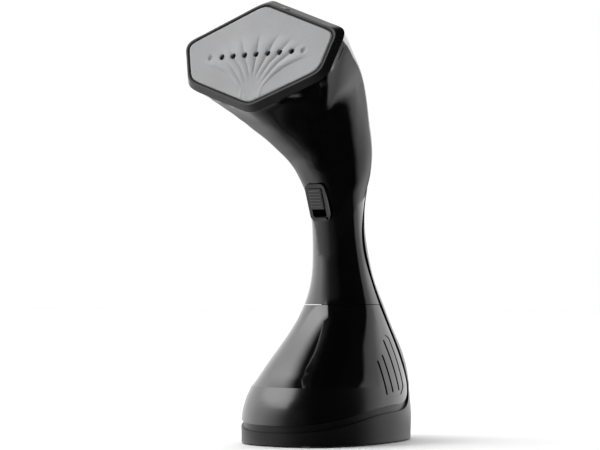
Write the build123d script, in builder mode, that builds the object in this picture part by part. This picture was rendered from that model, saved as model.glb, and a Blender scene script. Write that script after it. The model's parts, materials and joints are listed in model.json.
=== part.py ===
from build123d import *
import os
from math import cos, pi, radians, sin

# Hand-held garment steamer, millimetres. +Z up, -Y towards the steam plate, X to the side.

# Driving dimensions
base_width = 94.6           # foot of the steamer, side to side
base_depth = 131.6          # foot of the steamer, front to back
tank_top = 92.0             # parting plane between tank and handle
handle_length = 73.0        # from the tank's top up to the line the head turns about
handle_width = 33.6
handle_depth = 39.0
head_reach = 101.9          # from the middle of the base forwards to the line the head turns about
plate_tilt = 16.0           # steam plate leans back from upright
plate_width = 116.0         # over the two side corners
plate_height = 68.0         # over the top and bottom corners
plate_thick = 2.4
plate_out = 5.2             # steam face in front of the last section of the head
collar_grow = 5.5           # collar stands out this far round the steam plate
wall = 2.2                  # moulded shells
gap = 0.4                   # between parts that come apart
foot_height = 1.0
step_in = 1.5               # dark step round the spine and the base
step_wide = 4.4
hole_pitch = 9.3
hole_count = 7
hole_radius = 2.1
gland_proud = 2.4
slide_travel = 5.0
plunger_travel = 1.5
valve_lift = 2.0

# Places worked out from them
plate_rise = 89.9           # steam plate's middle, from the line the head turns about
front_reach = head_reach - plate_rise * sin(radians(plate_tilt)) + plate_out * cos(radians(plate_tilt))
front_reach = front_reach + plate_height * 0.47 * sin(radians(plate_tilt))
base_y = (front_reach - base_depth / 2 - gland_proud) / 2
turn_y = base_y - head_reach
turn_z = tank_top + handle_length
head_angle = 90 - plate_tilt

os.makedirs("parts", exist_ok=True)


def save(piece, label):
    """Label one finished piece and write it to its own file."""
    piece.part.label = label
    export_step(piece.part, f"parts/{label}.step")


# Outline shapes ---------------------------------------------------------------------------------

def ring_angles(count=44, crowd=0.45):
    """Angles round a section from its rear centre, closer together at the two sides."""
    steps = [pi / 2 + 2 * pi * i / count for i in range(count)]
    return [s - crowd * sin(2 * s) / 2 for s in steps]


def oval_radius(angle, half_x, half_y, power):
    """Radius of a superellipse."""
    return (abs(cos(angle) / half_x) ** power + abs(sin(angle) / half_y) ** power) ** (-1 / power)


def hexagon_radius(angle, top, side, low, sharp=22):
    """Radius of a flat hexagon with blunt corners, from the distances of its edges."""
    edges = ((67.8, top), (112.2, top), (-16.2, side), (196.2, side), (-69.1, low), (-110.9, low))
    total = 0
    for heading, distance in edges:
        total += max(cos(angle - radians(heading)), 0) ** sharp / distance ** sharp
    return total ** (-1 / sharp)


def outline(radius_at):
    """Smooth closed edge of a section."""
    angles = ring_angles()
    points = [(radius_at(a) * cos(a), radius_at(a) * sin(a)) for a in angles]
    knots = [i / len(points) for i in range(len(points) + 1)]
    return Edge.make_spline(points, periodic=True, parameters=knots)


plate_top = plate_height * 33.4 / 68.0
plate_side = plate_width * 52.4 / 116.0
plate_low = plate_height * 29.7 / 68.0


def plate_outline(grow):
    """The steam plate's hexagon, moved out by grow."""
    return outline(lambda a: hexagon_radius(a, plate_top + grow, plate_side + grow, plate_low + grow))


# Outer skin -------------------------------------------------------------------------------------

# Share of the tank's height, how far the flare has opened sideways and front to back (0 is the
# handle, 1 is the base), centre backwards from the base's, squareness of the section
tank_stations = (
    (0.000, 1.000, 1.000, 0.0, 2.42),
    (0.196, 1.000, 1.005, 0.4, 2.42),
    (0.304, 0.977, 0.957, 1.6, 2.42),
    (0.413, 0.920, 0.895, 5.0, 2.40),
    (0.543, 0.805, 0.750, 10.8, 2.36),
    (0.674, 0.660, 0.590, 15.2, 2.32),
    (0.826, 0.465, 0.376, 18.5, 2.28),
    (1.000, 0.275, 0.192, 20.3, 2.24),
)
crease_row = 3
# Share of the handle's height, width and depth against the handle's own, centre, squareness
handle_stations = (
    (0.247, 1.179, 1.160, 18.6, 2.2),
    (0.630, 1.000, 1.000, 14.6, 2.2),
    (0.870, 1.012, 1.026, 12.6, 2.2),
    (1.000, 1.071, 1.150, 11.5, 2.2),
)
# turn from level, distance of the middle from the turning line, edge distances of the hexagon
# (sides, top, bottom) and how far the section has changed from an oval into that hexagon
head_stations = (
    (0, 113.3, 16.5, 21.0, 20.9, 0.0),
    (12, 115.0, 22.5, 20.6, 31.9, 0.25),
    (25, 110.0, 28.0, 22.4, 40.2, 0.5),
    (40, 104.4, 35.7, 26.8, 43.9, 0.75),
    (57, 95.3, 46.8, 31.7, 39.0, 0.92),
)


def level_rows():
    """Height, half width, half depth, centre and squareness of every level station."""
    rows = []
    for share, open_x, open_y, middle, power in tank_stations:
        half_x = (handle_width + (base_width - handle_width) * open_x) / 2
        half_y = (handle_depth + (base_depth - handle_depth) * open_y) / 2
        rows.append((share * tank_top, half_x, half_y, middle, power))
    for share, wide, deep, middle, power in handle_stations:
        height = tank_top + share * handle_length
        rows.append((height, wide * handle_width / 2, deep * handle_depth / 2, middle, power))
    return rows


def level_station(height, half_x, half_y, middle, power, inset):
    """Plane and radius function of a level section."""
    plane = Plane((0, base_y + middle, height))
    return plane, lambda a: oval_radius(a, half_x - inset, half_y - inset, power)


def fan_plane(turn, rise, forward=0.0):
    """Plane that has swung about the turning line, with its own Y pointing away from that line."""
    slope = radians(turn)
    middle_y = turn_y + rise * cos(slope) - forward * sin(slope)
    middle_z = turn_z + rise * sin(slope) + forward * cos(slope)
    return Plane((0, middle_y, middle_z), x_dir=(1, 0, 0), z_dir=(0, -sin(slope), cos(slope)))


face = fan_plane(head_angle, plate_rise, plate_out)


def in_face(x, up, out):
    """Point given across, up and out from the middle of the steam face."""
    return face.from_local_coords((x, up, out))


def fan_station(turn, rise, side, top, low, hexagon, inset):
    """Section of the head, between an oval and the hexagon."""
    def radius(angle):
        depth = top if sin(angle) > 0 else low
        oval = oval_radius(angle, side * 1.09 - inset, depth * 1.07 - inset, 2.2)
        flat = hexagon_radius(angle, top - inset, side - inset, low - inset)
        return (1 - hexagon) * oval + hexagon * flat
    return fan_plane(turn, rise), radius


def slope_at(rows, at, column):
    """Steepness of one column of a table at a row, against the first column."""
    low = max(at - 1, 0)
    high = min(at + 1, len(rows) - 1)
    return (rows[high][column] - rows[low][column]) / (rows[high][0] - rows[low][0])


def between(rows, count):
    """Rows evenly spaced along the first column, on smooth curves through the table's rows."""
    filled = []
    for step in range(count):
        place = rows[0][0] + (rows[-1][0] - rows[0][0]) * step / (count - 1)
        at = 0
        while at < len(rows) - 2 and rows[at + 1][0] < place:
            at += 1
        span = rows[at + 1][0] - rows[at][0]
        part = (place - rows[at][0]) / span
        row = [place]
        for column in range(1, len(rows[0])):
            rise = rows[at + 1][column] - rows[at][column]
            leave = slope_at(rows, at, column) * span * part * (1 - part) * (1 - part)
            arrive = slope_at(rows, at + 1, column) * span * part * part * (1 - part)
            row.append(rows[at][column] + rise * part * part * (3 - 2 * part) + leave - arrive)
        filled.append(row)
    return filled


def skirt_sections(inset):
    """Sections from the foot up to the tank's crease."""
    rows = level_rows()[:crease_row + 1]
    return [level_station(*row, inset) for row in between(rows, 5)]


def upper_sections(inset):
    """Sections from the tank's crease up to the rim that the collar sits on."""
    rows = level_rows()[crease_row:]
    sections = [level_station(*row, inset) for row in between(rows, 13)]
    grown = (plate_side + collar_grow, plate_top + collar_grow, plate_low + collar_grow)
    rows = (*head_stations, (head_angle, plate_rise, *grown, 1.0))
    sections += [fan_station(*row, inset) for row in between(rows, 13)[1:]]
    return sections


def skin(inset, part_of):
    """Solid inside the outer skin, moved in by inset."""
    with BuildPart() as body:
        for plane, radius in part_of(inset):
            with BuildSketch(plane):
                with BuildLine():
                    add(outline(radius))
                make_face()
        loft()
    return body.part


def whole_skin(inset):
    """Tank, handle and head as one solid, moved in by inset."""
    with BuildPart() as body:
        add(skin(inset, skirt_sections))
        add(skin(inset, upper_sections))
    return body.part


outer = whole_skin(0)
stepped = whole_skin(step_in)
inner = whole_skin(wall)
spine_inner = whole_skin(step_in + wall)

# Seam between the L-shaped rear housing and what stands in front of it ---------------------------

# distance behind the base's middle, height as a share of the tank
low_seam = (
    (-85, 0.130), (-65, 0.148), (-43, 0.188), (-28, 0.222), (-11, 0.253), (13, 0.272),
    (28, 0.293), (34.5, 0.345), (36, 0.425), (35, 0.51), (33.4, 0.60), (31.6, 0.76),
    (29.2, 0.90), (26.9, 1.0),
)
# distance behind the base's middle, height above the tank as a share of the handle
high_seam = (
    (24.6, 0.20), (20.6, 0.38), (17.8, 0.55), (17.9, 0.72), (20.0, 0.86), (22.0, 0.99),
    (23.2, 1.13), (26.0, 1.25), (33.0, 1.335), (50.0, 1.37),
)
seam_points = [(base_y + y, share * tank_top) for y, share in low_seam]
seam_points += [(base_y + y, tank_top + share * handle_length) for y, share in high_seam]
far_back = base_y + base_depth
far_front = turn_y - 120
far_up = turn_z + 200
far_down = -20


def shifted_seam(distance):
    """Seam points moved towards the rear housing."""
    moved = []
    for i, (y, z) in enumerate(seam_points):
        y0, z0 = seam_points[max(i - 1, 0)]
        y1, z1 = seam_points[min(i + 1, len(seam_points) - 1)]
        length = ((y1 - y0) ** 2 + (z1 - z0) ** 2) ** 0.5
        moved.append((y + distance * (z1 - z0) / length, z - distance * (y1 - y0) / length))
    return moved


def behind_seam(distance):
    """Block of all that lies behind and below the moved seam."""
    points = shifted_seam(distance)
    with BuildPart() as block:
        with BuildSketch(Plane.YZ):
            with BuildLine():
                Spline(*points)
                Polyline(points[-1], (far_back, points[-1][1]), (far_back, far_down),
                         (points[0][0], far_down), points[0])
            make_face()
        extrude(amount=base_width, both=True)
    return block.part


def before_seam(distance):
    """Block of all that lies in front of and above the seam, moved away from it."""
    points = shifted_seam(-distance)
    with BuildPart() as block:
        with BuildSketch(Plane.YZ):
            with BuildLine():
                Spline(*points)
                Polyline(points[-1], (far_back, points[-1][1]), (far_back, far_up),
                         (far_front, far_up), (far_front, points[0][1]), points[0])
            make_face()
        extrude(amount=base_width, both=True)
    return block.part


def slab(low, high, back=far_back):
    """Block of all that lies between two heights, as far back as told."""
    with BuildPart() as block:
        with Locations((0, (far_front + back) / 2, (low + high) / 2)):
            Box(4 * base_width, back - far_front, high - low)
    return block.part


def seam_y(height):
    """How far back the seam stands at a height, between two of its points."""
    for (y0, z0), (y1, z1) in zip(seam_points[6:], seam_points[7:]):
        if z0 <= height <= z1:
            return y0 + (y1 - y0) * (height - z0) / (z1 - z0)
    return seam_points[-1][0]


def along_y(start, end, radius, place_z, x=0.0):
    """Round bar between two places along Y."""
    with BuildPart() as bar:
        with BuildSketch(Plane.XZ.offset(-start)):
            with Locations((x, place_z)):
                Circle(radius)
        extrude(amount=start - end)
    return bar.part


# Outer casings ----------------------------------------------------------------------------------

floor_z = tank_top + gap / 2
pump_y = base_y + 17.0
pump_low = tank_top + 6.0
pump_length = 48.0


def upright(low, high, radius, x=0.0, y=pump_y):
    """Round bar between two heights."""
    with BuildPart() as bar:
        with BuildSketch(Plane.XY.offset(low)):
            with Locations((x, y)):
                Circle(radius)
        extrude(amount=high - low)
    return bar.part


mount_heights = (pump_low + 7.0, pump_low + 36.0)
mount_radius = 11.6
mount_thick = 3.0
seat_gap = 0.3              # between screw bosses and wells, and round shanks
upper_screws = (9.0, turn_z + 11.0, 1.6)
lower_screws = (12.5, tank_top + 8.5, 5.0)
screw_places = [(side * x, z, deep) for x, z, deep in (upper_screws, lower_screws) for side in (-1, 1)]
boss_radius = 3.2
boss_deep = 9.0
screw_radius = 1.4
screw_bite = 7.0            # how far a screw reaches into its boss
screw_head = 2.6
head_thick = 2.0
well_wall = 1.4
between_shells = whole_skin(wall / 2)

bezel_wide = 16.0
bezel_tall = 26.0
window_wide = 11.0
window_tall = 20.4
bezel_deep = 4.7
bezel_corner = 3.8
opening_deep = 9.0
switch_lean = radians(20.5)  # front of the neck leans back this much at the switch
switch_plane = Plane((0, base_y - 11.2, turn_z - 4.0), x_dir=(1, 0, 0),
                     z_dir=(0, -cos(switch_lean), -sin(switch_lean)))
vent_long = 8.4             # slot in each side of the head, behind the collar
vent_wide = 1.5
vent_up = 2.6
vent_back = 12.5

with BuildPart() as housing_room:
    add(inner)
    add(slab(floor_z + wall, far_up), mode=Mode.INTERSECT)

saddles = []
for height in mount_heights:
    with BuildPart() as saddle:
        add(inner)
        add(slab(height, height + mount_thick, back=pump_y), mode=Mode.INTERSECT)
        add(upright(height, height + mount_thick, mount_radius), mode=Mode.SUBTRACT)
    saddles.append(saddle.part)

bosses = []
for x, z, deep in screw_places:
    with BuildPart() as boss:
        with Locations((x * 1.25, seam_y(z) - boss_deep / 2 - seat_gap, z)):
            Box(abs(x) / 2 + 2 * boss_radius, boss_deep, 2 * boss_radius)
        add(between_shells, mode=Mode.INTERSECT)
    bosses.append(boss.part)

with BuildPart() as front_housing:
    add(outer)
    add(before_seam(0), mode=Mode.INTERSECT)
    add(slab(floor_z, far_up), mode=Mode.INTERSECT)
    add(housing_room.part, mode=Mode.SUBTRACT)
    add(saddles)
    with BuildSketch(switch_plane.offset(wall)):
        RectangleRounded(bezel_wide + gap, bezel_tall + gap, bezel_corner)
    extrude(amount=-wall - opening_deep, mode=Mode.SUBTRACT)
    add(bosses)
    for x, z, deep in screw_places:
        add(along_y(seam_y(z) - screw_bite, seam_y(z), screw_radius, z, x), mode=Mode.SUBTRACT)
    for side in (-1, 1):
        vent = in_face(side * plate_side * 0.9, vent_up, -vent_back)
        with BuildSketch(Plane(vent, x_dir=face.y_dir, z_dir=(side, 0, 0))):
            SlotOverall(vent_long, vent_wide)
        extrude(amount=plate_side, mode=Mode.SUBTRACT)
save(front_housing, "front_housing")

with BuildPart() as rear_room:
    add(behind_seam(wall))
    add(slab(floor_z, far_up))
    add(spine_inner, mode=Mode.INTERSECT)

port_z = 0.435 * tank_top   # height of the valve between tank and housing
port_y = seam_y(port_z) - wall

mid_spine = whole_skin(step_in + wall / 2)
with BuildPart() as spine_face:
    add(outer)
    add(behind_seam(step_wide), mode=Mode.INTERSECT)
    add(mid_spine, mode=Mode.SUBTRACT)

dock_y = port_y + wall + gap + 4.0
gland_z = 11.0
gland_radius = 6.0
gland_rim = 1.4
gland_deep = 8.0
gland_seat = 0.4
dock_boss = 4.0
dock_flange = 9.0
spigot_radius = 4.0
gland_bore = 3.5
rear_y = base_y + base_depth / 2

wells = []
for x, z, deep in screw_places:
    with BuildPart() as well:
        add(along_y(seam_y(z) + seat_gap, far_back, screw_head + well_wall, z, x))
        add(mid_spine, mode=Mode.INTERSECT)
    wells.append(well.part)

with BuildPart() as rear_housing:
    add(stepped)
    add(behind_seam(0), mode=Mode.INTERSECT)
    add(spine_face.part)
    add(rear_room.part, mode=Mode.SUBTRACT)
    add(slab(far_down, foot_height), mode=Mode.SUBTRACT)
    add(along_y(dock_y - dock_boss, dock_y, dock_flange + 1, port_z))
    add(along_y(port_y, dock_y, spigot_radius + seat_gap, port_z), mode=Mode.SUBTRACT)
    add(along_y(rear_y - gland_deep, far_back, gland_radius, gland_z), mode=Mode.SUBTRACT)
    add(along_y(rear_y + gland_seat, far_back, gland_radius + gland_rim, gland_z), mode=Mode.SUBTRACT)
    add(wells)
    for x, z, deep in screw_places:
        add(along_y(seam_y(z), far_back, screw_radius + seat_gap, z, x), mode=Mode.SUBTRACT)
        add(along_y(seam_y(z) + deep, far_back, screw_head + seat_gap, z, x), mode=Mode.SUBTRACT)
save(rear_housing, "rear_housing")

with BuildPart() as housing_screws:
    for x, z, deep in screw_places:
        add(along_y(seam_y(z) - screw_bite, seam_y(z) + deep, screw_radius, z, x))
        add(along_y(seam_y(z) + deep, seam_y(z) + deep + head_thick, screw_head, z, x))
save(housing_screws, "housing_screws")

# Tank -------------------------------------------------------------------------------------------

cap_y = base_y + 8.0
cap_radius = 11.6
neck_radius = 14.0
neck_bore = 9.0
neck_deep = 12.0
recess_deep = 3.6
lug_reach = 10.6
lug_wide = 3.6
lug_thick = 2.2
plug_low = tank_top - gap / 2 - neck_deep - lug_thick - gap
plug_radius = neck_bore - 0.9
tank_lid = tank_top - gap / 2
valve_radius = 8.0
valve_length = 20.0
hose_radius = 3.0
hose_bore = 2.0

with BuildPart() as tank_room:
    add(inner)
    add(before_seam(gap + wall), mode=Mode.INTERSECT)
    add(slab(0, tank_lid - wall), mode=Mode.INTERSECT)

grip_corners = ((-1.5, 0.61), (21.0, 0.78), (25.5, 0.76), (28.5, 0.40), (23.0, 0.345), (-4.0, 0.325))
grip_slots = ((17.6, 0.74, 20.7, 0.375), (9.8, 0.635, 11.8, 0.365), (2.6, 0.595, 3.8, 0.35))
grip_deep = 1.3
grip_sink = 0.4             # panel's face below the tank's
grip_slot = 1.9
grip_points = [(base_y + y, share * tank_top) for y, share in grip_corners]

with BuildPart() as grip_block:
    with BuildSketch(Plane.YZ):
        with BuildLine():
            FilletPolyline(*grip_points, radius=3, close=True)
        make_face()
    extrude(amount=base_width)
    add(whole_skin(grip_sink), mode=Mode.INTERSECT)
    add(whole_skin(grip_deep), mode=Mode.SUBTRACT)
    for y0, share0, y1, share1 in grip_slots:
        with BuildSketch(Plane.YZ):
            with BuildLine():
                Line((base_y + y0, share0 * tank_top), (base_y + y1, share1 * tank_top))
            trace(line_width=grip_slot)
        extrude(amount=base_width, mode=Mode.SUBTRACT)

with BuildPart() as grip_pocket:
    with BuildSketch(Plane.YZ):
        with BuildLine():
            FilletPolyline(*grip_points, radius=3, close=True)
        make_face()
    extrude(amount=base_width, both=True)
    add(whole_skin(grip_deep), mode=Mode.SUBTRACT)

with BuildPart() as valve_boss:
    add(along_y(port_y - 6, port_y, valve_radius + wall, port_z))
    add(before_seam(gap), mode=Mode.INTERSECT)

with BuildPart() as water_tank:
    add(outer)
    add(before_seam(gap), mode=Mode.INTERSECT)
    add(slab(0, tank_lid), mode=Mode.INTERSECT)
    add(tank_room.part, mode=Mode.SUBTRACT)
    with BuildSketch(Plane.XY.offset(tank_lid - neck_deep)):
        with Locations((0, cap_y)):
            Circle(neck_radius)
    extrude(amount=neck_deep)
    with BuildSketch(Plane.XY.offset(tank_lid - recess_deep)):
        with Locations((0, cap_y)):
            Circle(cap_radius + gap)
    extrude(amount=recess_deep, mode=Mode.SUBTRACT)
    with BuildSketch(Plane.XY.offset(tank_lid - neck_deep)):
        with Locations((0, cap_y)):
            Circle(neck_bore)
            Rectangle(lug_wide + 2.5 * gap, 2 * (lug_reach + gap))
    extrude(amount=neck_deep, mode=Mode.SUBTRACT)
    add(valve_boss.part)
    add(along_y(port_y - valve_length, far_back, valve_radius, port_z), mode=Mode.SUBTRACT)
    add(grip_pocket.part, mode=Mode.SUBTRACT)
save(water_tank, "water_tank")

with BuildPart() as grip_right:
    add(grip_block.part)
save(grip_right, "grip_right")

with BuildPart() as grip_left:
    add(grip_block.part.mirror(Plane.YZ))
save(grip_left, "grip_left")

with BuildPart() as filler_cap:
    add(upright(tank_lid - recess_deep + gap / 2, tank_lid - gap, cap_radius, y=cap_y))
    add(upright(plug_low, tank_lid - recess_deep + gap, plug_radius, y=cap_y))
    with BuildSketch(Plane.XY.offset(plug_low)):
        with Locations((0, cap_y)):
            Rectangle(2 * lug_reach, lug_wide)
    extrude(amount=lug_thick)
    with BuildSketch(Plane.XY.offset(tank_lid - gap)):
        with Locations((0, cap_y)):
            SlotOverall(2 * cap_radius - 6, 4)
    extrude(amount=-1.6, mode=Mode.SUBTRACT)
save(filler_cap, "filler_cap")

with BuildPart() as filler_seal:
    with BuildSketch(Plane.XY.offset(tank_lid - recess_deep - 4)):
        with Locations((0, cap_y)):
            Circle(neck_bore - 0.05)
            Circle(plug_radius, mode=Mode.SUBTRACT)
    extrude(amount=2)
save(filler_seal, "filler_seal")

# Tank valve and dock, on a line along Y ----------------------------------------------------------

cup_deep = 9.0
cup_radius = 4.6
seat_thick = 2.0
seat_hole = 2.4
cage_radius = 5.2
cage_front = port_y - valve_length
seat_front = port_y - cup_deep - seat_thick
poppet_radius = 4.2
poppet_thick = 1.8
stem_radius = 1.4
spigot_tip = port_y - 7.4
stem_tip = spigot_tip - gap
spring_wire = 0.35
jet_radius = 1.2            # water way through the small tubes

with BuildPart() as valve_body:
    add(along_y(cage_front, port_y, valve_radius, port_z))
    add(along_y(port_y - cup_deep, port_y, cup_radius, port_z), mode=Mode.SUBTRACT)
    add(along_y(cage_front + 1.5, seat_front, cage_radius, port_z), mode=Mode.SUBTRACT)
    add(along_y(cage_front, port_y, seat_hole, port_z), mode=Mode.SUBTRACT)
    for turn in (0, 90):
        with Locations(Location((0, cage_front + 4.2, port_z), (0, turn, 0))):
            Cylinder(1.7, 40, mode=Mode.SUBTRACT)
save(valve_body, "valve_body")

with BuildPart() as valve_poppet:
    add(along_y(seat_front - valve_lift - poppet_thick, seat_front - valve_lift, poppet_radius, port_z))
    add(along_y(cage_front + 0.4, stem_tip, stem_radius, port_z))
save(valve_poppet, "valve_poppet")

spring_room = seat_front - valve_lift - poppet_thick - cage_front - 1.5
with BuildPart() as valve_spring:
    with BuildLine() as coil:
        Helix(pitch=(spring_room - 1.0) / 3, height=spring_room - 1.0, radius=3.0,
              center=(0, cage_front + 2.0, port_z), direction=(0, 1, 0))
    with BuildSketch(Plane(coil.line @ 0, z_dir=coil.line % 0)):
        Circle(spring_wire)
    sweep(is_frenet=True)
save(valve_spring, "valve_spring")

barb_end = dock_y + 7.0
with BuildPart() as dock_socket:
    add(along_y(spigot_tip, dock_y + 2, spigot_radius, port_z))
    add(along_y(dock_y, dock_y + 2, dock_flange, port_z))
    add(along_y(dock_y + 2, barb_end, hose_bore, port_z))
    add(along_y(spigot_tip, barb_end, jet_radius, port_z), mode=Mode.SUBTRACT)
    with Locations((0, spigot_tip + 0.6, port_z)):
        Box(5, 1.2, 1.2)
save(dock_socket, "dock_socket")

seal_ring = (port_y - 5.0, port_y - 3.2)
with BuildPart() as dock_seal:
    add(along_y(*seal_ring, cup_radius - 0.05, port_z))
    add(along_y(*seal_ring, spigot_radius, port_z), mode=Mode.SUBTRACT)
save(dock_seal, "dock_seal")

# Base -------------------------------------------------------------------------------------------

plate_lid = foot_height + 2.0
foot_radius = 6.0
foot_sunk = 0.8
corners = [(sx * base_width, sy * base_depth) for sx in (-1, 1) for sy in (-1, 1)]
foot_places = [(0.27 * x, base_y + 0.30 * y) for x, y in corners]
base_screws = [(0.20 * x, base_y + 0.40 * y) for x, y in corners]

with BuildPart() as bottom_plate:
    add(spine_inner)
    add(slab(foot_height, plate_lid), mode=Mode.INTERSECT)
    with BuildSketch(Plane.XY.offset(foot_height)):
        with Locations(foot_places):
            Circle(foot_radius)
    extrude(amount=foot_sunk, mode=Mode.SUBTRACT)
    with BuildSketch(Plane.XY.offset(foot_height)):
        with Locations(base_screws):
            Circle(screw_radius)
    extrude(amount=4, mode=Mode.SUBTRACT)
save(bottom_plate, "bottom_plate")

with BuildPart() as rubber_feet:
    with BuildSketch():
        with Locations(foot_places):
            Circle(foot_radius)
    extrude(amount=foot_height + foot_sunk)
save(rubber_feet, "rubber_feet")

with BuildPart() as bottom_screws:
    with BuildSketch(Plane.XY.offset(foot_height - 0.6)):
        with Locations(base_screws):
            Circle(2.4)
    extrude(amount=0.6)
    with BuildSketch(Plane.XY.offset(foot_height)):
        with Locations(base_screws):
            Circle(screw_radius)
    extrude(amount=5)
save(bottom_screws, "bottom_screws")

with BuildPart() as cord_gland:
    add(along_y(rear_y - gland_deep, rear_y + gland_proud, gland_radius, gland_z))
    add(along_y(rear_y + gland_seat, rear_y + gland_proud, gland_radius + gland_rim, gland_z))
    add(along_y(rear_y - gland_deep, rear_y + gland_proud, gland_bore, gland_z), mode=Mode.SUBTRACT)
save(cord_gland, "cord_gland")

block_y = base_y + 0.30 * base_depth
block_tall = 8.0
with BuildPart() as terminal_block:
    with Locations((0, block_y, plate_lid + block_tall / 2)):
        Box(24, 10, block_tall)
    with BuildSketch(Plane.XY.offset(plate_lid + block_tall)):
        with Locations((0, block_y)):
            with GridLocations(7, 1, 3, 1):
                Circle(1.8)
    extrude(amount=-5, mode=Mode.SUBTRACT)
save(terminal_block, "terminal_block")

# Pump -------------------------------------------------------------------------------------------

core_radius = 6.5
core_bore = 4.2
pump_top = pump_low + pump_length
coil_radius = 10.6
coil_low = mount_heights[0] + 4.0
coil_high = mount_heights[1] - 1.0
elbow_z = pump_low + 3.0

with BuildPart() as pump_body:
    add(upright(pump_low, pump_top, core_radius))
    add(upright(pump_low, pump_low + 6, 9.0))
    add(along_y(pump_y, pump_y + 17, hose_bore, elbow_z))
    add(upright(pump_top, pump_top + 7, hose_bore))
    add(upright(pump_low + 8, pump_top - 4, core_bore), mode=Mode.SUBTRACT)
    add(upright(pump_top - 5, pump_top + 7, jet_radius), mode=Mode.SUBTRACT)
    add(upright(elbow_z, pump_low + 9, jet_radius), mode=Mode.SUBTRACT)
    add(along_y(pump_y, pump_y + 17, jet_radius, elbow_z), mode=Mode.SUBTRACT)
save(pump_body, "pump_body")

with BuildPart() as pump_coil:
    add(upright(coil_low, coil_high, coil_radius))
    with Locations((0, pump_y + coil_radius, (coil_low + coil_high) / 2)):
        Box(9, 3, 8)
    add(upright(coil_low, coil_high, core_radius), mode=Mode.SUBTRACT)
save(pump_coil, "pump_coil")

piston_low = pump_low + 14.0
piston_high = piston_low + 16.0
with BuildPart() as pump_piston:
    add(upright(piston_low, piston_high, core_bore - 0.06))
    add(upright(piston_low, piston_high, jet_radius), mode=Mode.SUBTRACT)
save(pump_piston, "pump_piston")

with BuildPart() as pump_spring:
    coil_room = pump_top - 4 - piston_high - 0.8
    with BuildLine(Plane((0, pump_y, piston_high + 0.4))) as turns:
        Helix(pitch=coil_room / 5, height=coil_room, radius=3.2)
    with BuildSketch(Plane(turns.line @ 0, z_dir=turns.line % 0)):
        Circle(0.3)
    sweep(is_frenet=True)
save(pump_spring, "pump_spring")

with BuildPart() as pump_mounts:
    for height in mount_heights:
        add(upright(height, height + mount_thick, mount_radius))
        add(upright(height, height + mount_thick, core_radius), mode=Mode.SUBTRACT)
save(pump_mounts, "pump_mounts")


def hose(points, radii):
    """Tube along straight runs joined by arcs."""
    with BuildPart() as tube:
        with BuildLine() as path:
            FilletPolyline(*points, radius=radii)
        with BuildSketch(Plane(path.line @ 0, z_dir=path.line % 0)):
            Circle(hose_radius)
            Circle(hose_bore, mode=Mode.SUBTRACT)
        sweep()
    return tube.part


# Steam head, built on the plane of the steam plate's face ------------------------------------------

hole_row = 1.6
stud_spots = ((-18, 18), (18, 18), (-18, -15), (18, -15))
stud_radius = 3.4
stud_deep = 3.5
with BuildPart() as steam_plate:
    with BuildSketch(face):
        with BuildLine():
            add(plate_outline(0))
        make_face()
    extrude(amount=-plate_thick)
    with BuildSketch(face.offset(-plate_thick)):
        with Locations(stud_spots):
            Circle(stud_radius)
    extrude(amount=-stud_deep)
    with BuildSketch(face.offset(-plate_thick - stud_deep)):
        with Locations(stud_spots):
            Circle(screw_radius)
    extrude(amount=stud_deep + 1, mode=Mode.SUBTRACT)
    with BuildSketch(face):
        with Locations((0, hole_row)):
            with GridLocations(hole_pitch, 1, hole_count, 1):
                Circle(hole_radius)
    extrude(amount=-plate_thick, mode=Mode.SUBTRACT)
save(steam_plate, "steam_plate")


def plate_slab(grow, top, bottom):
    """The steam plate's outline moved out by grow, between two depths behind the face."""
    with BuildPart() as block:
        with BuildSketch(face.offset(-top)):
            with BuildLine():
                add(plate_outline(grow))
            make_face()
        extrude(amount=top - bottom)
    return block.part


def tapered_slab(grow_top, grow_bottom, top, bottom):
    """The steam plate's outline, wider at its back."""
    with BuildPart() as block:
        for grow, depth in ((grow_top, top), (grow_bottom, bottom)):
            with BuildSketch(face.offset(-depth)):
                with BuildLine():
                    add(plate_outline(grow))
                make_face()
        loft()
    return block.part


seal_wide = 1.2
collar_back = plate_out - 0.35
spigot_grow = 1.6
spigot_deep = 4.6
with BuildPart() as head_collar:
    add(tapered_slab(2.4, collar_grow, 0.6, collar_back))
    add(plate_slab(spigot_grow, collar_back, collar_back + spigot_deep))
    add(plate_slab(seal_wide, 0, plate_thick + 1.6), mode=Mode.SUBTRACT)
    add(plate_slab(-1.8, plate_thick, collar_back + 6), mode=Mode.SUBTRACT)
save(head_collar, "head_collar")

with BuildPart() as plate_gasket:
    add(plate_slab(seal_wide, 1.0, plate_thick + 1.6))
    add(plate_slab(0, 0, plate_thick), mode=Mode.SUBTRACT)
    add(plate_slab(-2.2, plate_thick, plate_thick + 3), mode=Mode.SUBTRACT)
save(plate_gasket, "plate_gasket")

chamber_front = plate_thick
chamber_back = 17.5
seal_back = chamber_back + 0.8
cover_back = seal_back + 2.5
heater_radius = 3.2
heater_x = 30.0
heater_up = 8.5
heater_depth = 9.0
leg_end = 9.0               # heater legs stand out of the cover this far
boil_spot = (8, 0)
boil_size = (44, 22)
thermostat_x = 14.0


def chamber_outline(shrink=0.0):
    """Outline of the steam chamber."""
    return outline(lambda a: hexagon_radius(a, 26.5 - shrink, 41 - shrink, 22.5 - shrink, sharp=16))


def chamber_slab(shrink, top, bottom):
    """The chamber's outline between two depths behind the steam face."""
    with BuildPart() as block:
        with BuildSketch(face.offset(-top)):
            with BuildLine():
                add(chamber_outline(shrink))
            make_face()
        extrude(amount=top - bottom)
    return block.part


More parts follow.
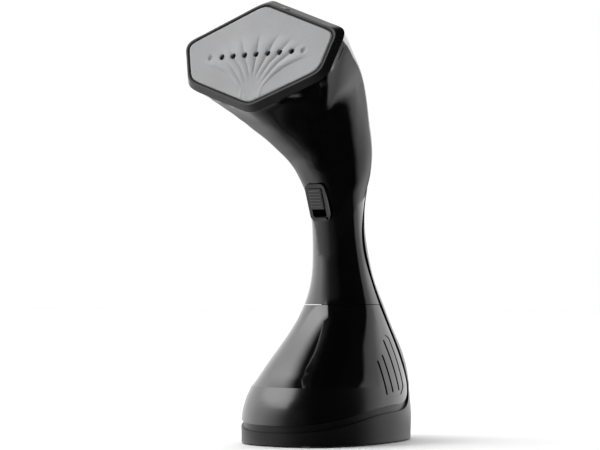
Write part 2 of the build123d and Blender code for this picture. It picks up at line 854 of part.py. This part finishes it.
with BuildPart() as heating_element:
    legs = [in_face(-heater_x, heater_up, -cover_back - leg_end), in_face(-heater_x, heater_up, -heater_depth),
            in_face(20, heater_up, -heater_depth), in_face(20 + heater_up, 0, -heater_depth),
            in_face(20, -heater_up, -heater_depth), in_face(-heater_x, -heater_up, -heater_depth),
            in_face(-heater_x, -heater_up, -cover_back - leg_end)]
    with BuildLine() as bends:
        FilletPolyline(legs[0], legs[1], (legs[1] + legs[2]) / 2, radius=6)
        Line((legs[1] + legs[2]) / 2, legs[2])
        ThreePointArc(legs[2], legs[3], legs[4])
        Line(legs[4], (legs[4] + legs[5]) / 2)
        FilletPolyline((legs[4] + legs[5]) / 2, legs[5], legs[6], radius=6)
    with BuildSketch(Plane(legs[0], z_dir=legs[1] - legs[0])):
        Circle(heater_radius)
    sweep()
save(heating_element, "heating_element")

with BuildPart() as steam_chamber:
    add(chamber_slab(0, chamber_front, chamber_back))
    with BuildSketch(face.offset(-chamber_front)):
        with Locations((0, hole_row)):
            SlotOverall(hole_pitch * hole_count + 4, 6)
    extrude(amount=-3.6, mode=Mode.SUBTRACT)
    with BuildSketch(face.offset(-chamber_back)):
        with Locations(boil_spot):
            RectangleRounded(*boil_size, 6)
    extrude(amount=4, mode=Mode.SUBTRACT)
    with BuildSketch(face.offset(-chamber_front)):
        with Locations((-8, hole_row), (8, hole_row)):
            Circle(2)
    extrude(amount=-14, mode=Mode.SUBTRACT)
    with BuildSketch(face.offset(-chamber_front)):
        with Locations(stud_spots):
            Circle(stud_radius + 0.1)
    extrude(amount=-stud_deep - 0.1, mode=Mode.SUBTRACT)
    with BuildSketch(face.offset(-chamber_front)):
        with Locations(stud_spots):
            Circle(screw_radius + 0.2)
    extrude(amount=-20, mode=Mode.SUBTRACT)
    add(heating_element.part, mode=Mode.SUBTRACT)
save(steam_chamber, "steam_chamber")


def behind_chamber(top, bottom, centre_gap):
    """Flat layer over the back of the chamber, with its screw and heater holes."""
    with BuildPart() as layer:
        add(chamber_slab(0.5, top, bottom))
        with BuildSketch(face.offset(-top)):
            with Locations(stud_spots):
                Circle(screw_radius + 0.2)
            with Locations((-heater_x, heater_up), (-heater_x, -heater_up)):
                Circle(heater_radius + 0.3)
            if centre_gap:
                with Locations(boil_spot):
                    RectangleRounded(*boil_size, 6)
        extrude(amount=top - bottom, mode=Mode.SUBTRACT)
    return layer.part


with BuildPart() as chamber_seal:
    add(behind_chamber(chamber_back, seal_back, True))
save(chamber_seal, "chamber_seal")

spigot_spot = (-4, 6)
with BuildPart() as chamber_cover:
    add(behind_chamber(seal_back, cover_back, False))
    with BuildSketch(face.offset(-cover_back)):
        with Locations(spigot_spot):
            Circle(hose_bore)
    extrude(amount=-9)
    with BuildSketch(face.offset(-seal_back)):
        with Locations(spigot_spot):
            Circle(jet_radius)
    extrude(amount=-14, mode=Mode.SUBTRACT)
save(chamber_cover, "chamber_cover")

with BuildPart() as chamber_screws:
    with BuildSketch(face.offset(-cover_back)):
        with Locations(stud_spots):
            Circle(2.6)
    extrude(amount=-2)
    with BuildSketch(face.offset(-cover_back)):
        with Locations(stud_spots):
            Circle(screw_radius)
    extrude(amount=cover_back - stud_deep - 0.1)
save(chamber_screws, "chamber_screws")

with BuildPart() as heater_terminals:
    for up in (heater_up, -heater_up):
        with BuildSketch(face.offset(-cover_back - leg_end)):
            with Locations((-heater_x, up)):
                Circle(heater_radius)
        extrude(amount=-3)
        with BuildSketch(face.offset(-cover_back - leg_end - 3)):
            with Locations((-heater_x, up)):
                Rectangle(0.8, 4.8)
        extrude(amount=-6)
save(heater_terminals, "heater_terminals")

with BuildPart() as thermostat:
    with BuildSketch(face.offset(-cover_back)):
        with Locations((thermostat_x, 0)):
            Circle(7.8)
    extrude(amount=-7)
    with BuildSketch(face.offset(-cover_back - 7)):
        with Locations((thermostat_x - 4, 0), (thermostat_x + 4, 0)):
            Rectangle(0.8, 4.8)
    extrude(amount=-6)
save(thermostat, "thermostat")

with BuildPart() as thermal_fuse:
    with BuildSketch(Plane(in_face(-16, -5, -cover_back - 2.2), x_dir=face.z_dir, z_dir=face.x_dir)):
        Circle(2.2)
    extrude(amount=14)
save(thermal_fuse, "thermal_fuse")

carrier_top = collar_back + spigot_deep
with BuildPart() as chamber_carrier:
    add(plate_slab(-0.6, carrier_top, carrier_top + 2))
    add(chamber_slab(-0.4, carrier_top, carrier_top + 2), mode=Mode.SUBTRACT)
save(chamber_carrier, "chamber_carrier")

# Hoses --------------------------------------------------------------------------------------------

inlet_path = [(0, dock_y + 3, port_z), (0, dock_y + 15, port_z), (0, dock_y + 10, port_z + 32),
              (0, pump_y + 20.5, elbow_z), (0, pump_y + 9.5, elbow_z)]
with BuildPart() as inlet_hose:
    add(hose(inlet_path, [6.5, 14, 6]))
save(inlet_hose, "inlet_hose")

hose_end = in_face(*spigot_spot, -cover_back - 0.5)
hose_run = in_face(*spigot_spot, -cover_back - 22)
outlet_path = [hose_end, hose_run, (0, pump_y - 14, turn_z + 66), (0, pump_y - 1, turn_z + 30),
               (0, pump_y, pump_top + 0.5)]
with BuildPart() as outlet_hose:
    add(hose(outlet_path, [16, 30, 60]))
save(outlet_hose, "outlet_hose")

# Switch -------------------------------------------------------------------------------------------

bezel_proud = 0.6
slide_wide = 10.4
slide_proud = 1.4
rib_radius = 0.6
rib_count = 6
slide_tall = 14.4
slide_up = 2.7
rib_pitch = 2.2
ramp_slope = plunger_travel / slide_travel
flange_front = bezel_deep + 0.5
flange_back = flange_front + 1.2
plunger_up = -1.0
frame_wide = 15.6

with BuildPart() as switch_bezel:
    with BuildSketch(switch_plane.offset(bezel_proud)):
        RectangleRounded(bezel_wide, bezel_tall, bezel_corner)
        RectangleRounded(window_wide, window_tall, 1.2, mode=Mode.SUBTRACT)
    extrude(amount=-bezel_deep - bezel_proud)
    with BuildSketch(switch_plane.offset(bezel_proud)):
        with Locations((0, -bezel_tall / 2 + 1.3)):
            SlotOverall(window_wide, 2.2)
    extrude(amount=1.2)
save(switch_bezel, "switch_bezel")

with BuildPart() as steam_slide:
    with BuildSketch(switch_plane.offset(slide_proud)):
        with Locations((0, slide_up)):
            RectangleRounded(slide_wide, slide_tall, 1.2)
    extrude(amount=-slide_proud - flange_back)
    with BuildSketch(switch_plane.offset(-flange_front)):
        with Locations((0, slide_up)):
            Rectangle(window_wide + wall, slide_tall + 1)
    extrude(amount=flange_front - flange_back)
    for rib in range(rib_count):
        up = slide_up + (rib - (rib_count - 1) / 2) * rib_pitch
        start = switch_plane.from_local_coords((-slide_wide / 2 + rib_radius, up, slide_proud))
        with BuildSketch(Plane(start, z_dir=(1, 0, 0))):
            Circle(rib_radius)
        extrude(amount=slide_wide - 2 * rib_radius)
    with BuildSketch(Plane(switch_plane.from_local_coords((-2, 0, -flange_back)),
                           x_dir=switch_plane.y_dir, z_dir=(1, 0, 0))):
        with BuildLine():
            Polyline((-2, 0), (-2, 0.4), (8, 0.4 + 10 * ramp_slope), (8, 0), close=True)
        make_face()
    extrude(amount=4)
save(steam_slide, "steam_slide")

plunger_out = 2.5
body_deep = 6.5
body_front = flange_back + gap + (plunger_up + 2) * ramp_slope + plunger_out
with BuildPart() as micro_switch:
    with BuildSketch(switch_plane.offset(-body_front)):
        Rectangle(6.4, 19.8)
    extrude(amount=-body_deep)
    with BuildSketch(switch_plane.offset(-body_front)):
        with Locations((0, plunger_up)):
            Circle(1.05)
    extrude(amount=-3, mode=Mode.SUBTRACT)
    with BuildSketch(switch_plane.offset(-body_front - body_deep)):
        with Locations((0, -7), (0, 0), (0, 7)):
            Rectangle(3.2, 0.6)
    extrude(amount=-3.5)
save(micro_switch, "micro_switch")

with BuildPart() as switch_plunger:
    with BuildSketch(switch_plane.offset(-body_front - 1.4)):
        with Locations((0, plunger_up)):
            Circle(1.0)
    extrude(amount=plunger_out + 1.4 - 0.35)
    outwards = Axis(switch_plane.origin, switch_plane.z_dir)
    fillet(switch_plunger.faces().sort_by(outwards)[-1].edges(), 0.5)
save(switch_plunger, "switch_plunger")

with BuildPart() as switch_frame:
    with BuildSketch(switch_plane.offset(-bezel_deep)):
        Rectangle(frame_wide, 22)
        Rectangle(14.0, 30, mode=Mode.SUBTRACT)
    extrude(amount=bezel_deep - body_front - body_deep)
    with BuildSketch(switch_plane.offset(-body_front)):
        with Locations((0, 10.9), (0, -10.9)):
            Rectangle(frame_wide, 2)
    extrude(amount=-body_deep)
save(switch_frame, "switch_frame")
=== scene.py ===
import json
from math import cos, hypot, pi, radians, sin

import bmesh
import bpy
from mathutils import Matrix, Vector


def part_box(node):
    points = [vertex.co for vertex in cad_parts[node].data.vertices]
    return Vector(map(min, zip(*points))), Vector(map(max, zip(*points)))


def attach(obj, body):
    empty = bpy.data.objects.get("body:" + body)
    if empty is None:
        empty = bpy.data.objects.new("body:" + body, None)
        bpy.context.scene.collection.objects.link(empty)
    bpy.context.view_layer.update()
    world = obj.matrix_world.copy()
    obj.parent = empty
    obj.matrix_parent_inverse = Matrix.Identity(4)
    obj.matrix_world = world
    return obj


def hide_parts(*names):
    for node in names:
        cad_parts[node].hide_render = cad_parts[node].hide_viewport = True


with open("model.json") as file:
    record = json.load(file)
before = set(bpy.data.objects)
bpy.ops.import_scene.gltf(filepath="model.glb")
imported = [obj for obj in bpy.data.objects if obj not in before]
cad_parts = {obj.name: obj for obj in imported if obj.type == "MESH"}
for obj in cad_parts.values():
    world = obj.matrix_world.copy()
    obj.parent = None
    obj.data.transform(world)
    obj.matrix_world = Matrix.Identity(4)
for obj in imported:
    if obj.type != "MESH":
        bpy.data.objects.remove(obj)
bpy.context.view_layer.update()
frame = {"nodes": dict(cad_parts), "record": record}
nodes = frame["nodes"]
scene = bpy.context.scene
scene.view_settings.view_transform = "Standard"

MM = 0.001


# Places the CAD part gives ------------------------------------------------------------------------
def middle_of(node):
    """Middle of a node's box."""
    lowest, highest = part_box(node)
    return (lowest + highest) / 2


base_y = middle_of("bottom_plate").y
plate_tilt = radians(16)
CREASE_Z = 0.038               # the tank is satin below its crease


# Camera -------------------------------------------------------------------------------------------
AZIMUTH = radians(35)
PITCH = radians(-1.86)         # it looks slightly upwards
DISTANCE = 1.325
CAMERA_HEIGHT = 0.103
CAMERA_SHIFT = 0.0185
LENS = 117.1
SENSOR = 36
to_right = Vector((cos(AZIMUTH), sin(AZIMUTH), 0))
to_camera = Vector((sin(AZIMUTH), -cos(AZIMUTH), 0))
back = (to_camera * cos(PITCH) + Vector((0, 0, sin(PITCH)))).normalized()
camera = bpy.data.objects.new("camera", bpy.data.cameras.new("camera"))
scene.collection.objects.link(camera)
place = to_camera * DISTANCE + Vector((0, base_y, CAMERA_HEIGHT)) - to_right * CAMERA_SHIFT
turned = Matrix((to_right, back.cross(to_right), back)).transposed()
camera.matrix_world = Matrix.Translation(place) @ turned.to_4x4()
camera.data.sensor_width = SENSOR
camera.data.lens = LENS
camera.data.clip_end = 30
scene.camera = camera


# Node helpers -------------------------------------------------------------------------------------
class Graph:
    """Short way to add and join the nodes of one tree."""

    def __init__(self, tree):
        self.tree = tree

    def node(self, kind, **settings):
        made = self.tree.nodes.new(kind)
        for key, value in settings.items():
            setattr(made, key, value)
        return made

    def join(self, source, target):
        self.tree.links.new(source, target)

    def feed(self, socket, value):
        if isinstance(value, bpy.types.NodeSocket):
            self.join(value, socket)
        else:
            socket.default_value = value

    def math(self, operation, first, second=0.0, third=0.0):
        made = self.node("ShaderNodeMath", operation=operation)
        for socket, value in zip(made.inputs, (first, second, third)):
            self.feed(socket, value)
        return made.outputs[0]

    def ramp(self, value, stops, smooth=False):
        """Colour ramp through (position, grey or colour) stops."""
        made = self.node("ShaderNodeValToRGB")
        made.color_ramp.interpolation = "EASE" if smooth else "LINEAR"
        elements = made.color_ramp.elements
        while len(elements) < len(stops):
            elements.new(0.5)
        for element, (position, colour) in zip(elements, stops):
            element.position = position
            grey = (colour, colour, colour) if isinstance(colour, (int, float)) else colour
            element.color = (*grey, 1)
        self.feed(made.inputs[0], value)
        return made.outputs["Color"]

    def spread(self, value, low, high):
        """Value from 0 to 1 spread between two values."""
        made = self.node("ShaderNodeMapRange")
        self.feed(made.inputs["Value"], value)
        made.inputs["To Min"].default_value = low
        made.inputs["To Max"].default_value = high
        return made.outputs["Result"]


# Studio: a panorama that only reflections and the object's shading see ------------------------------
# Left and right of the object it is bright, and towards the camera it is dark. "around" runs from 0
# behind the object, over 0.25 left, 0.5 towards the camera and 0.75 right, to 1 behind it again.
# "heights" runs from 0 straight down to 1 straight up. The stops are set to match the reflections
# wanted from the main camera, so they fit less well from other sides.
BRIGHTEST = 7.4
LAMP_SIZE = 1.2
LAMP_POWER = 6
LAMP_HEIGHT = 1.6

world = bpy.data.worlds.new("studio")
scene.world = world
world.use_nodes = True
sky = Graph(world.node_tree)
direction = sky.node("ShaderNodeTexCoord").outputs["Generated"]


def along(axis):
    """How far the direction looked in runs along an axis."""
    dot = sky.node("ShaderNodeVectorMath", operation="DOT_PRODUCT")
    sky.join(direction, dot.inputs[0])
    dot.inputs[1].default_value = axis
    return dot.outputs["Value"]


around = sky.math("ARCTAN2", along(to_right), along(to_camera))
around = sky.math("MULTIPLY_ADD", around, 0.5 / pi, 0.5)
heights = sky.math("MULTIPLY_ADD", along(Vector((0, 0, 1))), 0.5, 0.5)
above = sky.ramp(around, [(0.0, 0.12), (0.12, 0.36), (0.19, 0.70), (0.25, 0.92), (0.31, 0.84),
                          (0.330, 0.72), (0.338, 0.004), (0.5, 0.001), (0.752, 0.003), (0.762, 0.10),
                          (0.85, 0.20), (0.93, 0.40), (1.0, 0.20)])
middle = sky.ramp(around, [(0.0, 0.14), (0.095, 0.28), (0.18, 0.44), (0.276, 0.42), (0.305, 0.24),
                           (0.335, 0.10), (0.37, 0.03), (0.5, 0.001), (0.752, 0.003), (0.762, 0.11),
                           (0.80, 0.155), (0.83, 0.32), (0.90, 0.36), (1.0, 0.20)])
below_left = sky.ramp(around, [(0.0, 0.05), (0.05, 0.075), (0.075, 0.13), (0.206, 0.20), (0.293, 0.17),
                               (0.355, 0.09), (0.40, 0.03), (0.5, 0.002), (0.9, 0.0), (1.0, 0.05)])
below_right = sky.ramp(around, [(0.752, 0.003), (0.77, 0.06), (0.80, 0.12), (0.83, 0.20), (0.86, 0.18),
                                (0.875, 0.15), (0.89, 0.08), (0.903, 0.035), (0.93, 0.02), (1.0, 0.0)])


def layered(first, second, factor, mode="MIX"):
    """Two colours blended by a factor."""
    made = sky.node("ShaderNodeMix", data_type="RGBA", blend_type=mode)
    sky.feed(made.inputs["Factor"], factor)
    sky.join(first, made.inputs["A"])
    sky.join(second, made.inputs["B"])
    return made.outputs["Result"]


def masked(light, mask):
    """Light dimmed by a mask."""
    return layered(light, mask, 1.0, "MULTIPLY")


lit_left = masked(below_left, sky.ramp(heights, [(0.0, 0.1), (0.09, 1.0)]))
lit_right = masked(below_right, sky.ramp(heights, [(0.335, 0.0), (0.368, 1.0)]))
below = layered(lit_left, lit_right, 1.0, "ADD")
horizon = sky.ramp(heights, [(0.462, 0.0), (0.477, 1.0)], smooth=True)
upwards = sky.ramp(heights, [(0.77, 0.0), (0.82, 1.0)], smooth=True)
limits = sky.ramp(heights, [(0.90, 1.0), (0.955, 0.01)], smooth=True)
glow = masked(layered(below, layered(middle, above, upwards), horizon), limits)
shine = world.node_tree.nodes["Background"]
sky.join(glow, shine.inputs["Color"])
shine.inputs["Strength"].default_value = BRIGHTEST

top_lamp = bpy.data.objects.new("top_box", bpy.data.lights.new("top_box", "AREA"))
top_lamp.data.shape = "RECTANGLE"
top_lamp.data.size = LAMP_SIZE
top_lamp.data.size_y = LAMP_SIZE
top_lamp.data.energy = LAMP_POWER
top_lamp.location = (0, base_y, LAMP_HEIGHT)
top_lamp.visible_glossy = False
scene.collection.objects.link(top_lamp)


# Materials ----------------------------------------------------------------------------------------
BROAD_SIZE = 22                # scale of the slow drift over a surface
ROUGH_DRIFT = 0.2              # roughness varies by this share each way
GRAIN_DEEP = 0.0001
SATIN_MORE = 0.17              # roughness added below a crease
CREASE_BLUR = 0.0002


def plastic(name, colour, roughness, grain=0.0, grain_size=900.0, metallic=0.0, specular=0.5,
            satin_below=None, drift=0.17):
    """Moulded or cast surface: fine grain, with a slight drift of colour and roughness."""
    material = bpy.data.materials.new(name)
    material.use_nodes = True
    graph = Graph(material.node_tree)
    shader = material.node_tree.nodes["Principled BSDF"]
    shader.inputs["Metallic"].default_value = metallic
    shader.inputs["Specular IOR Level"].default_value = specular
    place = graph.node("ShaderNodeTexCoord").outputs["Object"]
    fine = graph.node("ShaderNodeTexNoise")
    fine.inputs["Scale"].default_value = grain_size
    fine.inputs["Detail"].default_value = 3
    graph.join(place, fine.inputs["Vector"])
    broad = graph.node("ShaderNodeTexNoise")
    broad.inputs["Scale"].default_value = BROAD_SIZE
    broad.inputs["Detail"].default_value = 5
    graph.join(place, broad.inputs["Vector"])
    half = graph.math("MULTIPLY", broad.outputs["Fac"], 0.5)
    blend = graph.math("MULTIPLY_ADD", fine.outputs["Fac"], 0.5, half)
    tint = graph.ramp(blend, [(0.3, [c * (1 - drift) for c in colour]),
                              (0.7, [min(c * (1 + drift), 1) for c in colour])])
    graph.join(tint, shader.inputs["Base Color"])
    rough = graph.spread(blend, roughness * (1 - ROUGH_DRIFT), roughness * (1 + ROUGH_DRIFT))
    if satin_below:
        apart = graph.node("ShaderNodeSeparateXYZ")
        graph.join(place, apart.inputs[0])
        lower = graph.node("ShaderNodeMapRange")
        graph.join(apart.outputs["Z"], lower.inputs["Value"])
        lower.inputs["From Min"].default_value = satin_below + CREASE_BLUR
        lower.inputs["From Max"].default_value = satin_below - CREASE_BLUR
        rough = graph.math("MULTIPLY_ADD", lower.outputs["Result"], SATIN_MORE, rough)
    graph.join(rough, shader.inputs["Roughness"])
    bump = graph.node("ShaderNodeBump")
    bump.inputs["Strength"].default_value = grain
    bump.inputs["Distance"].default_value = GRAIN_DEEP
    graph.join(fine.outputs["Fac"], bump.inputs["Height"])
    graph.join(bump.outputs["Normal"], shader.inputs["Normal"])
    return material


looks = {
    "gloss_black": plastic("gloss_black", (0.002, 0.002, 0.0022), 0.07, grain=0.01),
    "tank_gloss": plastic("tank_gloss", (0.002, 0.002, 0.0022), 0.06, grain=0.01, satin_below=CREASE_Z),
    "matt_black": plastic("matt_black", (0.007, 0.007, 0.0073), 0.34, grain=0.25, grain_size=2500,
                          specular=0.22),
    "satin_grey": plastic("satin_grey", (0.006, 0.006, 0.0062), 0.28, grain=0.1, specular=0.28),
    "button_black": plastic("button_black", (0.010, 0.010, 0.010), 0.32, grain=0.1),
    "plate_metal": plastic("plate_metal", (0.27, 0.271, 0.276), 0.40, grain=0.10, grain_size=1800,
                           metallic=0.05, specular=0.3),
    "cast_metal": plastic("cast_metal", (0.5, 0.5, 0.51), 0.5, grain=0.5, metallic=1.0),
    "steel": plastic("steel", (0.55, 0.55, 0.55), 0.3, metallic=1.0),
    "silicone": plastic("silicone", (0.003, 0.003, 0.003), 0.5, grain=0.1, specular=0.12),
    "rubber": plastic("rubber", (0.012, 0.012, 0.012), 0.65, grain=0.3),
    "brown_resin": plastic("brown_resin", (0.08, 0.035, 0.015), 0.45, grain=0.2),
    "white_nylon": plastic("white_nylon", (0.62, 0.6, 0.55), 0.4, grain=0.1),
    "coil": plastic("coil", (0.5, 0.2, 0.07), 0.35, grain=0.3, metallic=1.0),
}
for row in frame["record"]["subparts"]:
    node = nodes[row["node"]]
    node.data.materials.clear()
    node.data.materials.append(looks[row["material_slot"]])


def object_from(name, mesh_maker):
    """Object whose mesh a function fills in."""
    work = bmesh.new()
    mesh_maker(work)
    bmesh.ops.recalc_face_normals(work, faces=work.faces)
    mesh = bpy.data.meshes.new(name)
    work.to_mesh(mesh)
    work.free()
    made = bpy.data.objects.new(name, mesh)
    scene.collection.objects.link(made)
    return made


def piece_from(name, mesh_maker, slot, body, replaced=()):
    """Visible piece with its finish, its body and the CAD nodes it stands for."""
    made = object_from(name, mesh_maker)
    for face in made.data.polygons:
        face.use_smooth = True
    made.data.materials.append(looks[slot])
    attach(made, body)
    if replaced:
        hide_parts(*replaced)
    return made


# Steam plate: pressed fan of flutes, with a row of steam holes across it. Sizes are in mm -------------
PLATE_TOP, PLATE_SIDE, PLATE_LOW = 33.4, 52.4, 29.7
PLATE_THICK = 2.4
PLATE_SUNK = 0.45
EDGE_ROLL = 0.8
HOLE_PITCH, HOLE_ROW, HOLE_RADIUS = 9.3, 1.6, 2.1
HOLES_EACH_SIDE = 3
DIMPLE_RADIUS, DIMPLE_DEEP = 1.9, 0.9
face_out = Vector((0, -cos(plate_tilt), sin(plate_tilt)))
face_up = Vector((0, sin(plate_tilt), cos(plate_tilt)))
plate_low, plate_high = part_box("steam_plate")


def hexagon_radius(angle, sharp=22):
    """Distance from the plate's middle to its edge."""
    total = 0
    for heading, distance in ((67.8, PLATE_TOP), (112.2, PLATE_TOP), (-16.2, PLATE_SIDE), (196.2, PLATE_SIDE),
                              (-69.1, PLATE_LOW), (-110.9, PLATE_LOW)):
        total += max(cos(angle - radians(heading)), 0) ** sharp / distance ** sharp
    return total ** (-1 / sharp)


# The plate's top corner gives the place of its middle
corner_up = hexagon_radius(pi / 2)
face_middle = Vector((0, 0, plate_high.z)) - face_up * corner_up * MM
face_middle.y = plate_low.y + (face_up.y * hexagon_radius(-pi / 2)) * MM


def on_face(x, up, out):
    """World point from millimetres across, up and out of the steam face."""
    return face_middle + (Vector((x, 0, 0)) + face_up * up + face_out * out) * MM


# height up the plate, and how far out the grooves 0 to 4 are there
FAN = (
    (-22.0, (0, 0.9, 2.8, 5.6, 9.0)),
    (-14.5, (0, 2.2, 6.4, 11.1, 16.0)),
    (-9.0, (0, 4.5, 9.6, 15.6, 24.0)),
    (-5.2, (0, 6.2, 12.2, 19.3, 33.0)),
    (-2.0, (0, 7.8, 15.6, 23.8, 46.0)),
    (1.6, (0, 9.3, 18.6, 27.9, 58.0)),
    (10.0, (0, 12.8, 25.6, 36.8, 74.0)),
    (20.0, (0, 19.0, 35.5, 48.0, 90.0)),
)


def fan_grooves(up):
    """Where the grooves are at a height."""
    at = 0
    while at < len(FAN) - 2 and FAN[at + 1][0] < up:
        at += 1
    part = min(max((up - FAN[at][0]) / (FAN[at + 1][0] - FAN[at][0]), 0), 1)
    return [a + (b - a) * part for a, b in zip(FAN[at][1], FAN[at + 1][1])]


def smooth_step(low, high, value):
    """Smooth rise from 0 to 1 between two values."""
    t = min(max((value - low) / (high - low), 0), 1)
    return t * t * (3 - 2 * t)


def flute_height(x, up):
    """Height of the pressed fan over the flat plate."""
    grooves = fan_grooves(up)
    across = abs(x)
    if across >= grooves[-1]:
        return 0
    lane = 0
    while across > grooves[lane + 1]:
        lane += 1
    width = grooves[lane + 1] - grooves[lane]
    part = (across - grooves[lane]) / width
    bulge = max(1 - (2 * part - 1) ** 2, 0) ** 0.8
    reach = hypot(x * 0.78, up + 20)
    fade = smooth_step(3, 11, reach) * (1 - smooth_step(25, 40, reach))
    return min(0.085 * width, 0.75) * bulge * fade


def dimple(x, up, middle_x, middle_up, radius, deep):
    """Blind round hollow."""
    away = hypot(x - middle_x, up - middle_up) / radius
    return -deep * max(1 - away * away, 0) ** 0.5 if away < 1 else 0


def build_plate(work):
    """Rings of vertices from the middle to the edge, and the skirt behind them."""
    count, rings = 360, 84
    rows = []
    for ring in range(rings + 1):
        share = ring / rings
        row = []
        for i in range(count):
            angle = 2 * pi * i / count
            radius = hexagon_radius(angle) * share
            x, up = radius * cos(angle), radius * sin(angle)
            inside = hexagon_radius(angle) * (1 - share)
            out = flute_height(x, up)
            for side in (-1, 1):
                spot = side * (HOLES_EACH_SIDE + 1) * HOLE_PITCH
                out += dimple(x, up, spot, HOLE_ROW, DIMPLE_RADIUS, DIMPLE_DEEP)
            if inside < EDGE_ROLL:
                out -= EDGE_ROLL - max(EDGE_ROLL ** 2 - (EDGE_ROLL - inside) ** 2, 0) ** 0.5
            row.append(work.verts.new(on_face(x, up, out - PLATE_SUNK)))
            if ring == 0:
                break
        rows.append(row)
    skirt = []
    for i in range(count):
        angle = 2 * pi * i / count
        radius = hexagon_radius(angle)
        skirt.append(work.verts.new(on_face(radius * cos(angle), radius * sin(angle), -PLATE_THICK)))
    rows.append(skirt)
    for i in range(count):
        after = (i + 1) % count
        work.faces.new((rows[0][0], rows[1][i], rows[1][after]))
    for low_row, high_row in zip(rows[1:], rows[2:]):
        for i in range(count):
            after = (i + 1) % count
            work.faces.new((low_row[i], high_row[i], high_row[after], low_row[after]))
    work.faces.new(list(reversed(skirt)))


plate = piece_from("steam_plate_face", build_plate, "plate_metal", "housing", ["steam_plate"])


def build_hole_cutters(work):
    """Pins that bore the steam holes."""
    turn = face_out.to_track_quat("Z", "Y").to_matrix().to_4x4()
    for hole in range(-HOLES_EACH_SIDE, HOLES_EACH_SIDE + 1):
        spot = on_face(hole * HOLE_PITCH, HOLE_ROW, -PLATE_THICK)
        bmesh.ops.create_cone(work, cap_ends=True, segments=40, radius1=HOLE_RADIUS * MM,
                              radius2=HOLE_RADIUS * MM, depth=8 * MM,
                              matrix=Matrix.Translation(spot) @ turn)


cutters = object_from("hole_cutters", build_hole_cutters)
cut = plate.modifiers.new("holes", "BOOLEAN")
cut.object = cutters
cut.solver = "EXACT"
with bpy.context.temp_override(object=plate, active_object=plate, selected_objects=[plate]):
    bpy.ops.object.modifier_apply(modifier="holes")
bpy.data.objects.remove(cutters)


def build_hole_rims(work):
    """Rolled edge of each steam hole, with the sleeve behind it."""
    profile = ((2.32, -0.55), (2.28, -0.30), (2.12, -0.17), (1.95, -0.22), (1.86, -0.45), (1.84, -2.6),
               (2.1, -2.6), (2.1, -0.6))
    count = 32
    for hole in range(-HOLES_EACH_SIDE, HOLES_EACH_SIDE + 1):
        rings = []
        for radius, out in profile:
            ring = []
            for i in range(count):
                angle = 2 * pi * i / count
                ring.append(work.verts.new(on_face(hole * HOLE_PITCH + radius * cos(angle),
                                                   HOLE_ROW + radius * sin(angle), out)))
            rings.append(ring)
        for first, second in zip(rings, rings[1:] + rings[:1]):
            for i in range(count):
                after = (i + 1) % count
                work.faces.new((first[i], second[i], second[after], first[after]))


piece_from("steam_hole_rims", build_hole_rims, "plate_metal", "housing")


# White surround, which only the camera sees, and a floor that reflections leave out ------------------
DOME_RADIUS = 9.0
FLOOR_SIZE = 12


def build_dome(work):
    """Large ball round the whole scene."""
    bmesh.ops.create_icosphere(work, subdivisions=4, radius=DOME_RADIUS)


surround = object_from("surround", build_dome)
glowing = bpy.data.materials.new("surround_white")
glowing.use_nodes = True
lit = Graph(glowing.node_tree)
glowing.node_tree.nodes.remove(glowing.node_tree.nodes["Principled BSDF"])
emission = lit.node("ShaderNodeEmission")
emission.inputs["Strength"].default_value = 1.0
lit.join(emission.outputs[0], glowing.node_tree.nodes["Material Output"].inputs["Surface"])
surround.data.materials.append(glowing)
for ray in ("visible_diffuse", "visible_glossy", "visible_transmission", "visible_volume_scatter",
            "visible_shadow"):
    setattr(surround, ray, False)

bpy.ops.mesh.primitive_plane_add(size=FLOOR_SIZE, location=(0, 0, 0))
ground = bpy.context.object
ground.name = "floor"
ground.data.materials.append(plastic("floor_paint", (0.88, 0.88, 0.88), 0.7, drift=0.015))
ground.visible_glossy = False
